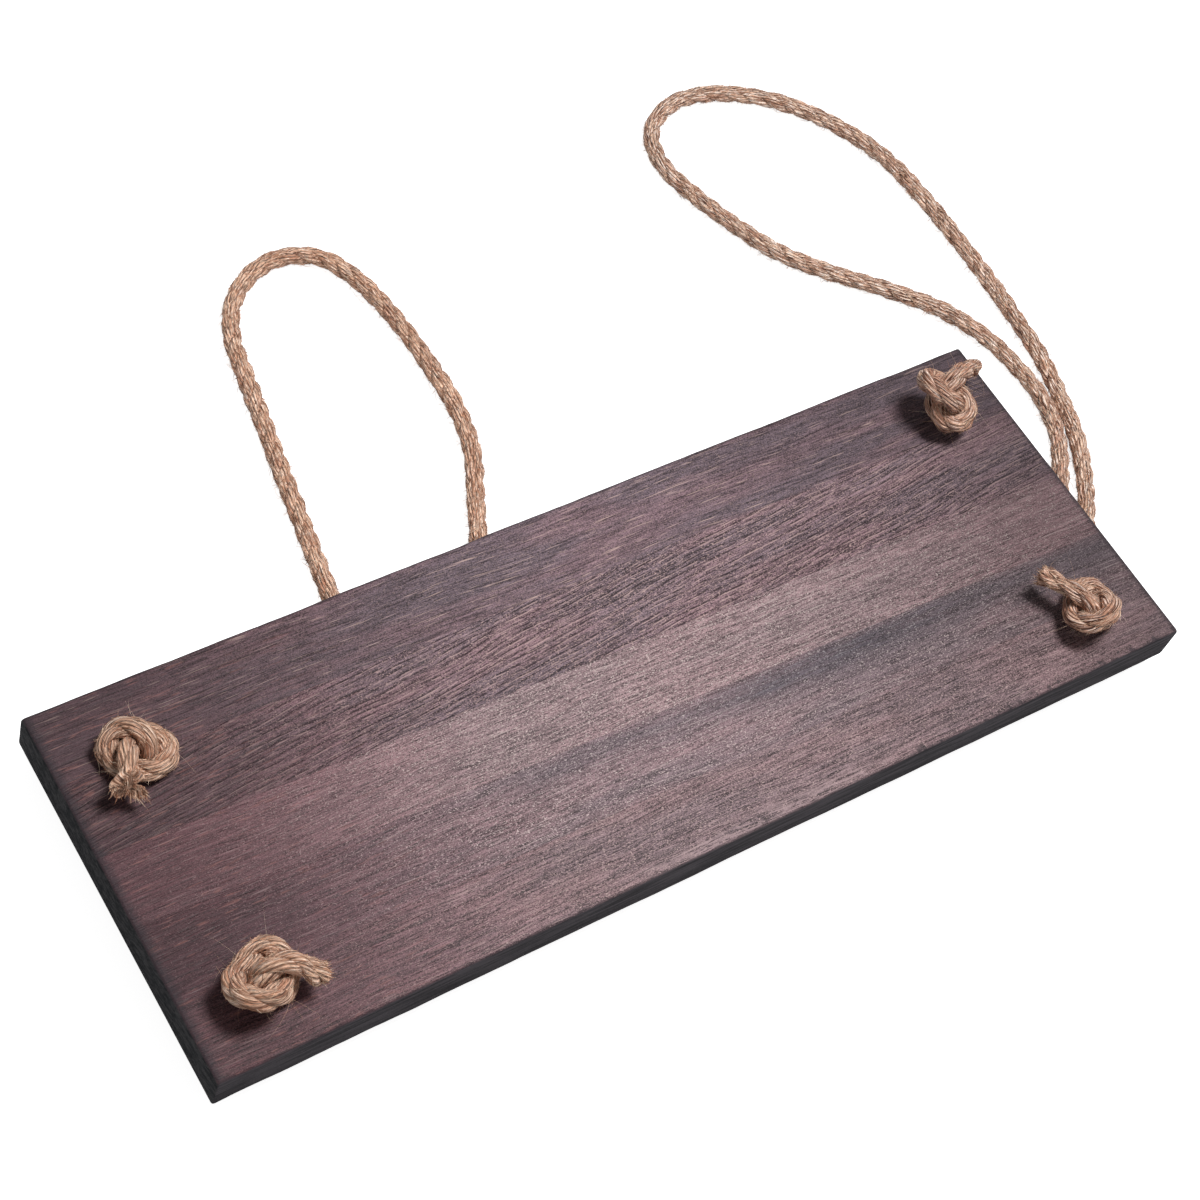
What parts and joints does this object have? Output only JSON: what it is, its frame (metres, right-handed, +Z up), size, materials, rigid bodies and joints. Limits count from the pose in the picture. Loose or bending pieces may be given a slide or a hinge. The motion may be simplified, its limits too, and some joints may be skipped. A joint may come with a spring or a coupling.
{
  "type": "hanging rope shelf",
  "caption": "Small solid wood shelf hung from a jute rope loop at each end; the ropes pass through the corners and are stopped by overhand knots.",
  "frame": {"origin": "on the surface that the shelf lies on, under the centre of the board", "axes": "+X along the board's length towards its right end, +Y across the board towards the edge that the rope loops pass, +Z up from the board's shelf face, which is turned down, to its underside with the knots"},
  "size_m": [0.4903, 0.3339, 0.0531],
  "materials": {
    "stained_wood": "dark brown-grey stain, worn satin, open grain",
    "jute_rope": "three-strand laid natural jute, hairy"
  },
  "bodies": {
    "board": {"back_stave": "stained_wood", "back_middle_stave": "stained_wood", "middle_stave": "stained_wood", "front_middle_stave": "stained_wood", "front_stave": "stained_wood", "back_left_rope_run": "jute_rope", "front_left_rope_run": "jute_rope", "back_right_rope_run": "jute_rope", "front_right_rope_run": "jute_rope", "left_rope_loop": "jute_rope", "right_rope_loop": "jute_rope"},
    "back_left_rope_end": {"back_left_knot": "jute_rope"},
    "front_left_rope_end": {"front_left_knot": "jute_rope"},
    "back_right_rope_end": {"back_right_knot": "jute_rope"},
    "front_right_rope_end": {"front_right_knot": "jute_rope"}
  },
  "joints": [
    {"name": "back_left_rope_slide", "type": "slide", "parent": "board", "child": "back_left_rope_end", "axis": [0, 0, 1], "range_m": [0, 0.012]},
    {"name": "front_left_rope_slide", "type": "slide", "parent": "board", "child": "front_left_rope_end", "axis": [0, 0, 1], "range_m": [0, 0.012]},
    {"name": "back_right_rope_slide", "type": "slide", "parent": "board", "child": "back_right_rope_end", "axis": [0, 0, 1], "range_m": [0, 0.012]},
    {"name": "front_right_rope_slide", "type": "slide", "parent": "board", "child": "front_right_rope_end", "axis": [0, 0, 1], "range_m": [0, 0.012]}
  ]
}
